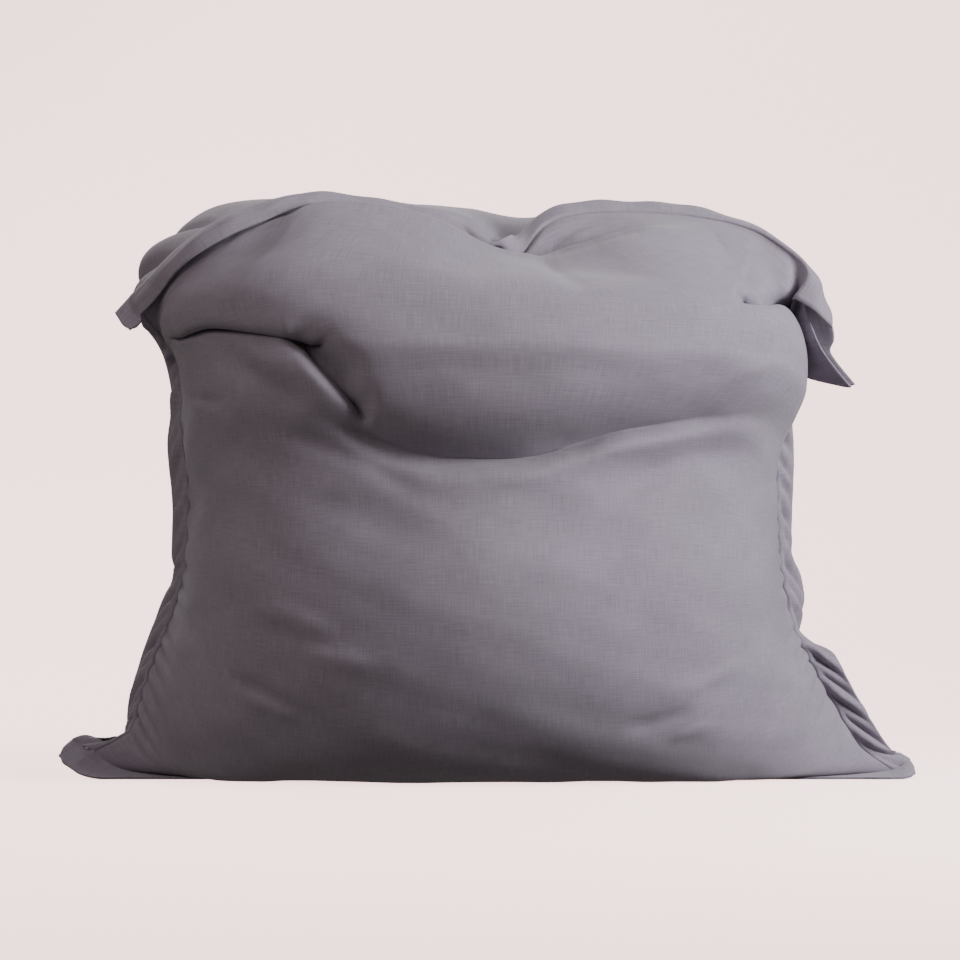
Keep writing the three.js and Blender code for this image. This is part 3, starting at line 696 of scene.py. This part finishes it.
# Where a border turns to a corner: its place along the seam, the corner and the point it turns to,
# and the distances along the seam, in its own t or s, at which it has turned and begins to turn
TURNS = dict(
    left=[(0, "foot_left", "side", 0.02, 0.08), (1, "top_left", "back", 0, 0.06)],
    right=[(0, "foot_right", "side", 0.02, 0.08)],
    top=[(-1, "top_left", "end", 0.04, 0.08), (1, "top_right", "end", 0, 0.16)],
)
# The foot border: where along the seam it comes to lie flat, how far it may fall, over what share
# it turns to the corners, and where its root lies inside the bag
FOOT = dict(flat=(0.05, 0.4), fall=24, turn=0.12, root=(0, 1, 2.5))
# How far each border is folded over: 0 stands straight out, 1 lies flat on the back panel and -1 on
# the front one
SIDE_FOLD = dict(
    left=along(table("t fold", """
        0.00  0.30
        0.045 0.60
        0.062 0.90
        0.10  0.68
        0.20  0.56
        0.335 0.54
        0.385 0.70
        0.40  0.88
        0.425 0.64
        0.51  0.60
        0.62  0.60
        0.69  0.86
        0.745 0.78
        0.82  0.74
        0.92  0.84
        1.00  0.86
    """), "t")["fold"],
    right=along(table("t fold", """
        0.00  0.30
        0.06  0.05
        0.26  0.00
        0.30  0.35
        0.325 0.88
        0.36  0.82
        0.40  0.52
        0.45  0.55
        0.47  0.72
        0.51  0.70
        0.57  0.64
        0.66  0.54
        0.76  0.58
        0.84  0.74
        0.90  0.80
    """), "t")["fold"],
)
TOP_FOLD = along(table("s fold", """
    -1.00 -0.70
    -0.80 -0.80
    -0.60 -0.88
    -0.25 -1.00
    -0.05 -1.14
     0.05 -1.16
     0.10  0.10
     0.14  0.70
     0.19  0.80
     0.30  0.85
     0.50  0.86
     0.90  0.86
     0.97  0.96
     1.00  0.90
"""), "s")["fold"]


def ripple(side, place):
    """How far a border stands off its smooth shape at a place along it."""
    size, waves, phase = RIPPLES[side]
    return size * np.sin(waves * place + phase) * np.sin(waves * RIPPLE_BEAT * place + 2 * phase)


def turned(a, b, share):
    """Directions a, turned towards directions b by a share of the angle between them."""
    angle = np.arccos(np.clip((a * b).sum(-1), -1, 1))[..., None]
    share = share[..., None]
    return (np.sin((1 - share) * angle) * a + np.sin(share * angle) * b) / np.sin(angle)


def leaving(seam, out, chords):
    """Of the ways in which a panel leaves its seam under a border, the one nearest to straight out."""
    ways = np.stack([unit(points - seam) for points in chords])
    best = (ways * out).sum(-1).argmax(0)
    return ways[best, np.arange(len(seam))]


def evened(line):
    """A line of points with its short waves taken out."""
    weights = np.bartlett(EVEN_OVER + 2)[1:-1]
    padded = np.concatenate([2 * line[:1] - line[EVEN_OVER // 2:0:-1], line,
                             2 * line[-1:] - line[-2:-2 - EVEN_OVER // 2:-1]])
    return np.stack([np.convolve(column, weights / weights.sum(), "valid") for column in padded.T], -1)


def border_lines(side, seam, out, front, back, fold, place, bow):
    """Points across a border, from its seam to its free edge, for each place along it."""
    lean = turned(out, np.where(fold[:, None] < 0, front, back), np.abs(fold))
    root = lean.copy()
    width = np.full(len(place), float(BORDER_WIDTH))
    for at, corner, toward, full, share in TURNS[side]:
        near = 1 - smooth(np.abs(place - at), full, share)
        aim = np.subtract(CORNERS[corner][toward], CORNERS[corner]["seam"]).astype(float)
        width = mix(width, np.linalg.norm(aim), near ** LATE["width"])
        root = unit(mix(root, unit(aim)[None], near[:, None]))
        lean = unit(mix(lean, unit(aim)[None], near[:, None] ** LATE["lean"]))
    rise = unit(mix(out, root, RISE_LEAN))
    stand = seam + rise * ROOT_STAND
    shares = np.linspace(0, 1, ACROSS)
    edge = evened(stand + lean * (width - ROOT_STAND)[:, None])
    lines = stand[:, None] + (edge - stand)[:, None] * shares[:, None]
    upright = unit(np.cross(np.gradient(seam, axis=0), lean))
    wave = ripple(side, place[:, None] + SLANT * shares) * np.sin(np.pi * shares**RIPPLE_SKEW)
    away = unit(out - lean * (out * lean).sum(-1, keepdims=True))
    bow = (bow * np.minimum(1, np.abs(fold)))[:, None] * (1 - np.abs(2 * shares - 1))
    lines = lines + upright[:, None] * wave[..., None] + away[:, None] * bow[..., None]
    return np.concatenate([(seam - rise)[:, None], lines], axis=1)


def corner_lines(corner, points):
    """The square at a corner, as lines of so many points that run on from those of a border."""
    sizes = CORNERS[corner]
    shares = np.linspace(0, 1, CORNER_STEPS + 1)[1:]
    across = np.linspace(sizes.get("root", CORNER_ROOT), 1, points)
    start = np.subtract(sizes["side"], sizes["seam"]) * shares[:, None]
    end = np.subtract(sizes["end"], sizes["seam"])
    rest = np.subtract(sizes["tip"], np.add(sizes["side"], sizes["end"])) + np.array(sizes["seam"])
    a, b = shares[:, None, None], across[None, :, None]
    rounded = 1 - TIP["round"] * smooth(a * b, TIP["start"], 1)
    return sizes["seam"] + rounded * (start[:, None] + end * b + rest * a * b)


def strip(name, lines, material, thickness=BORDER_THICKNESS):
    """A doubled strip of cloth round its middle lines: the two layers part a little at the free edge."""
    rows, wide = lines.shape[:2]
    across = np.gradient(lines, axis=1)
    normal = unit(np.cross(np.gradient(lines, axis=0), across))
    half = np.full(wide, thickness / 2)
    half[0] *= EDGE["root"]
    half[-1] *= EDGE["flare"]
    upper, lower = lines + normal * half[:, None], lines - normal * half[:, None]
    edge, out, up = lines[:, -1:], unit(across[:, -1:]), normal[:, -1:]
    lip = out * EDGE["round"] + up * (half[-1] - EDGE["round"] / 2)
    mouth = up * EDGE["open"] + out * EDGE["round"] / 2
    rim = [edge + lip,
           edge + mouth,
           edge - out * EDGE["deep"],
           edge + mouth - up * 2 * EDGE["open"],
           edge + lip - up * (2 * half[-1] - EDGE["round"])]
    loop = np.concatenate([upper, *rim, lower[:, ::-1]], axis=1)
    loop[..., 2] = np.maximum(loop[..., 2], 0)
    count = loop.shape[1]
    j, i = np.meshgrid(np.arange(rows - 1), np.arange(count), indexing="ij")
    a, b = j * count + i, j * count + (i + 1) % count
    faces = np.stack([a, b, b + count, a + count], -1).reshape(-1, 4).tolist()
    cap = [[k, k + 1, count - 2 - k, count - 1 - k] for k in range(wide + 1)]
    cap.append([wide + 1, wide + 2, wide + 3])
    for base, turn in ((0, -1), ((rows - 1) * count, 1)):
        faces += [[base + k for k in face][::turn] for face in cap]
    distance = np.concatenate([[0], np.cumsum(np.linalg.norm(np.diff(lines[:, 0], axis=0), axis=1))])
    shares = np.concatenate([np.linspace(*ACROSS_UV["upper"], wide),
                             np.linspace(*ACROSS_UV["edge"], len(rim)),
                             np.linspace(*ACROSS_UV["lower"], wide)])
    uv = np.stack(np.broadcast_arrays(distance[:, None], shares[None] * BORDER_WIDTH), -1)
    corners = np.concatenate([np.array(face) for face in faces])
    return mesh_piece(name, loop.reshape(-1, 3), faces, uv.reshape(-1, 2)[corners], material)


def side_border(side, top):
    """The lines of the left or right border, up to a share of the seam's height."""
    sign = -1 if side == "left" else 1
    t = np.linspace(0, top, SIDE_ROWS)
    seam = panel_points("front", sign, t)
    out = np.broadcast_to(np.array([sign, 0.0, 0.0]), seam.shape)
    ways = [leaving(seam, out, [panel_points(face, sign * (1 - inset), t) for inset in UNDER["sides"]])
            for face in ("front", "back")]
    lines = border_lines(side, seam, out, *ways, SIDE_FOLD[side](t), t, SIDE_BOW)
    return lines if side == "left" else lines[::-1]


def top_border():
    """The lines of the top border, with the square at its left end."""
    s = np.linspace(-1, 1, LONG_ROWS)
    seam = panel_points("front", s, 1.0)
    up = np.broadcast_to(np.array([0.0, 0.0, 1.0]), seam.shape)
    ways = [leaving(seam, up, [panel_points(face, s, 1 - inset) for inset in UNDER["top"]])
            for face in ("front", "back")]
    tangent = unit(np.gradient(seam, axis=0))
    ways = [unit(way - tangent * (way * tangent).sum(-1, keepdims=True)) for way in ways]
    out = unit(up - ways[0] - ways[1])
    lines = border_lines("top", seam, out, *ways, TOP_FOLD(s), s, TOP_BOW)
    return np.concatenate([corner_lines("top_left", lines.shape[1])[::-1], lines])


def foot_border():
    """The lines of the foot border, flat on the floor and out to a square at each end."""
    s = np.linspace(-1, 1, LONG_ROWS)
    seam = panel_points("front", s, 0.0)
    half = BORDER_THICKNESS / 2
    drop = (half + GROOVE["height"] - BORDER_THICKNESS) * smooth(1 - np.abs(s), *FOOT["flat"])
    start = seam - np.stack([0 * s, 0 * s, drop], -1)
    fall = np.clip(start[:, 2] - half, 0, FOOT["fall"])
    lean = unit(np.stack([0 * s, -np.sqrt(BORDER_WIDTH**2 - fall**2), -fall], -1))
    width = np.full(len(s), float(BORDER_WIDTH))
    for at, corner in ((-1, "foot_left"), (1, "foot_right")):
        near = 1 - smooth(np.abs(s - at), 0, FOOT["turn"])
        aim = np.array(CORNERS[corner]["end"], float) - start
        width = mix(width, np.linalg.norm(aim, axis=1), near)
        lean = unit(mix(lean, unit(aim), near[:, None]))
    shares = np.linspace(0, 1, ACROSS)
    lines = start[:, None] + lean[:, None] * (width[:, None] * shares)[..., None]
    lines = np.concatenate([(seam + FOOT["root"])[:, None], lines], axis=1)
    across = lines.shape[1]
    left, right = corner_lines("foot_left", across), corner_lines("foot_right", across)
    lines = np.concatenate([left[::-1], lines, right])
    lines[..., 2] = np.maximum(lines[..., 2], half)
    return lines


border_cloth = linen("linen_border", CLOTH_DARK, CLOTH_LIGHT, 3.0)
for name, node, lines in (
    ("left_border_cloth", "border_left", side_border("left", 1.0)),
    ("right_border_cloth", "border_right", side_border("right", 0.87)),
    ("top_border_cloth", "border_top", top_border()),
    ("foot_border_cloth", "border_foot", foot_border()),
):
    border = strip(name, lines, border_cloth)
    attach(border, "root")
    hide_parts(node)
    length = np.linalg.norm(np.diff(lines[:, ACROSS // 2], axis=0), axis=1).sum()

# Ear, top right: the corner of the border, folded lengthwise into a leaf that hangs off the slumped
# top. Its near free edge is the hem, its crease is hidden, and the wing lies behind.
EAR = along(table("k hem_x hem_y hem_z root_x root_y root_z wing_x wing_y wing_z", """
    0 451 -58 688 438 -31 690   476 -42 676
    1 457 -66 660 430 -16 664   492 -42 648
    2 464 -78 640 430 -14 640   496 -36 626
    3 473 -86 617 438 -14 610   491 -29 611
    4 484 -79 600 454 -13 586   498 -31 597
    5 499 -70 582 460 -18 573   510 -40 581
    6 520 -56 558 513 -50 558.5 525 -53 562
"""), "k")
EAR_ROWS = 60
k = np.linspace(0, 6, EAR_ROWS)
hem, root, wing = (np.stack([EAR[f"{part}_{axis}"](k) for axis in "xyz"], -1)
                   for part in ("hem", "root", "wing"))
shares = np.linspace(0, 1, ACROSS)[None, :, None]
leaf = np.concatenate([mix(hem[:, None], root[:, None], shares),
                       mix(root[:, None], wing[:, None], shares)[:, 1:]], axis=1)
ear = strip("ear_cloth", leaf, border_cloth)
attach(ear, "root")
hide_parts("ear_top_right")

# Label: a small plain tab of dark woven tape on the left border, beside the bottom corner. It is a
# strip that follows a patch of that border's lines, and lies a little above them.
LABEL = dict(rows=slice(7, 12), across=slice(2, 10), lift=2.6, thickness=1.0)
TAPE_DARK = (0.008, 0.008, 0.009)
TAPE_LIGHT = (0.03, 0.029, 0.031)
tape = Nodes("dark_tape")
place = tape.add("ShaderNodeTexCoord", {}, {}, out="Object")
weave = tape.add("ShaderNodeTexNoise", {}, {"Vector": place, "Scale": 900.0, "Detail": 2.0})
tape_stops = ((0.3, TAPE_DARK), (0.7, TAPE_LIGHT))
tape_colour = tape.add("ShaderNodeValToRGB", dict(stops=tape_stops), {"Fac": weave})
tape_bump = tape.add("ShaderNodeBump", {}, {"Height": weave, "Strength": 0.4, "Distance": 0.0003})
dark_tape = tape.finish(Base_Color=tape_colour, Roughness=0.7, Normal=tape_bump)
label_lines = side_border("left", 1.0)[LABEL["rows"], LABEL["across"]]
label_up = unit(np.cross(np.gradient(label_lines, axis=0), np.gradient(label_lines, axis=1)))
label_up *= np.where(label_up[..., 2:] < 0, -1, 1)
label_lines += label_up * LABEL["lift"]
label = strip("label_tape", label_lines, dark_tape, thickness=LABEL["thickness"])
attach(label, "root")
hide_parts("label")

# Stage, in metres: a pale floor that runs up into a backdrop and gives the pouf no light of its own.
# A strong soft light stands low at the right, with weak ones close by and above, a warmer one fills
# in from the left, and one behind lights the back.
STAGE_COLOUR = (0.80, 0.735, 0.725)
STAGE_GLOW = (1.0, 0.67, 0.65)
stage_nodes = Nodes("pale_paper")
stage_nodes.finish(Base_Color=(*STAGE_COLOUR, 1), Roughness=1.0, Specular_IOR_Level=0.0,
                   Emission_Color=(*STAGE_GLOW, 1), Emission_Strength=3.0)
BACKDROP_CURVE = [(-4.0, 0.0), (-1.0, 0.0), (2.0, 0.0), (2.8, 0.12), (3.3, 0.5), (3.5, 1.2), (3.55, 2.6),
                  (3.55, 6.0)]
BACKDROP_SIDES = (-7.0, 7.0)
stage_vertices = [(x, y, z) for y, z in BACKDROP_CURVE for x in BACKDROP_SIDES]
stage_faces = [(2 * k, 2 * k + 1, 2 * k + 3, 2 * k + 2) for k in range(len(BACKDROP_CURVE) - 1)]
stage_mesh = bpy.data.meshes.new("backdrop")
stage_mesh.from_pydata(stage_vertices, [], stage_faces)
stage_mesh.polygons.foreach_set("use_smooth", [True] * len(stage_faces))
stage_mesh.materials.append(stage_nodes.material)
backdrop = bpy.data.objects.new("backdrop", stage_mesh)
backdrop.visible_diffuse = False
backdrop.visible_glossy = False
bpy.context.scene.collection.objects.link(backdrop)

LIT_POINT = (0, 0, 0.45)
COOL = (0.98, 0.98, 1.0)
WARM = (1.0, 0.89, 0.84)
WHITE = (1.0, 1.0, 1.0)
WORLD_COLOUR = (1.0, 0.9, 0.86)
WORLD_STRENGTH = 0.13


def soft_light(name, place, size, power, colour):
    """A round soft light at a place, turned to the middle of the pouf, with its power in watts."""
    data = bpy.data.lights.new(name, "AREA")
    data.shape = "DISK"
    data.size, data.energy, data.color = size, power, colour
    light = bpy.data.objects.new(name, data)
    light.location = place
    light.rotation_mode = "QUATERNION"
    light.rotation_quaternion = (Vector(LIT_POINT) - Vector(place)).to_track_quat("-Z", "Y")
    bpy.context.scene.collection.objects.link(light)


soft_light("key", (2.6, -1.5, 1.3), 1.2, 104, COOL)
soft_light("close", (1.5, -0.8, 1.7), 0.8, 10, COOL)
soft_light("above", (0, -0.9, 3.0), 1.6, 14, COOL)
soft_light("fill", (-2.0, -2.2, 1.9), 1.6, 21, WARM)
soft_light("behind", (-1.2, 2.6, 2.4), 1.6, 60, WHITE)
world = bpy.data.worlds.new("studio")
world.use_nodes = True
world.node_tree.nodes["Background"].inputs["Color"].default_value = (*WORLD_COLOUR, 1)
world.node_tree.nodes["Background"].inputs["Strength"].default_value = WORLD_STRENGTH
bpy.context.scene.world = world
